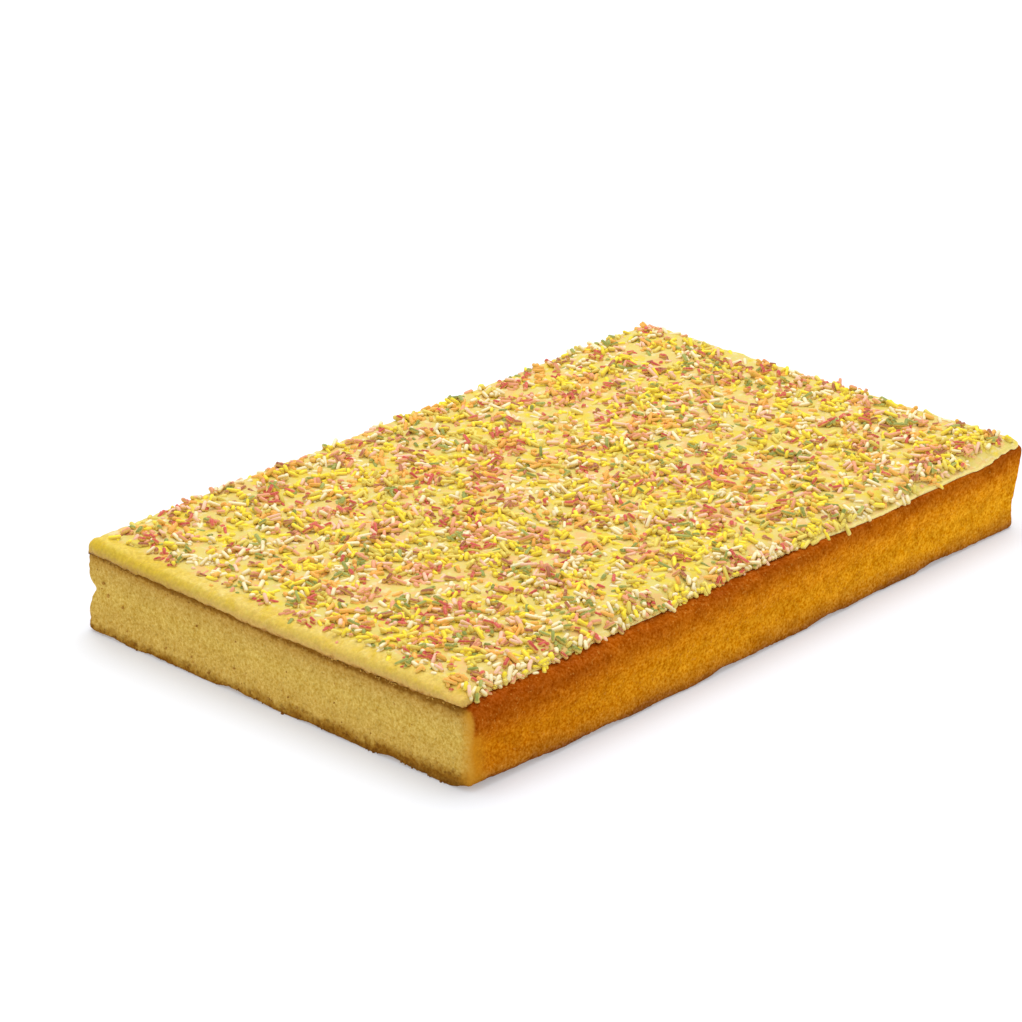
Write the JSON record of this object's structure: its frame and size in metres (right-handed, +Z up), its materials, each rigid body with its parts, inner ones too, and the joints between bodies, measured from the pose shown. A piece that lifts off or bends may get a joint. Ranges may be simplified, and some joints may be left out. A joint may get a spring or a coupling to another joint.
{
  "type": "lemon sheet cake",
  "caption": "End piece of a tray-baked lemon sponge, cut straight across at one end, under a soft layer of lemon icing made to carry sugar strands.",
  "frame": {"origin": "middle of the cake's box, on the surface that the cake stands on", "axes": "+X along the length from the cut end to the baked end, +Y across the width, +Z up"},
  "size_m": [0.3056, 0.1922, 0.0361],
  "materials": {
    "sponge": "matt crumb with a golden-brown baked crust",
    "icing": "soft satin lemon yellow"
  },
  "bodies": {
    "root": {"sponge": "sponge", "icing": "icing"}
  },
  "joints": []
}
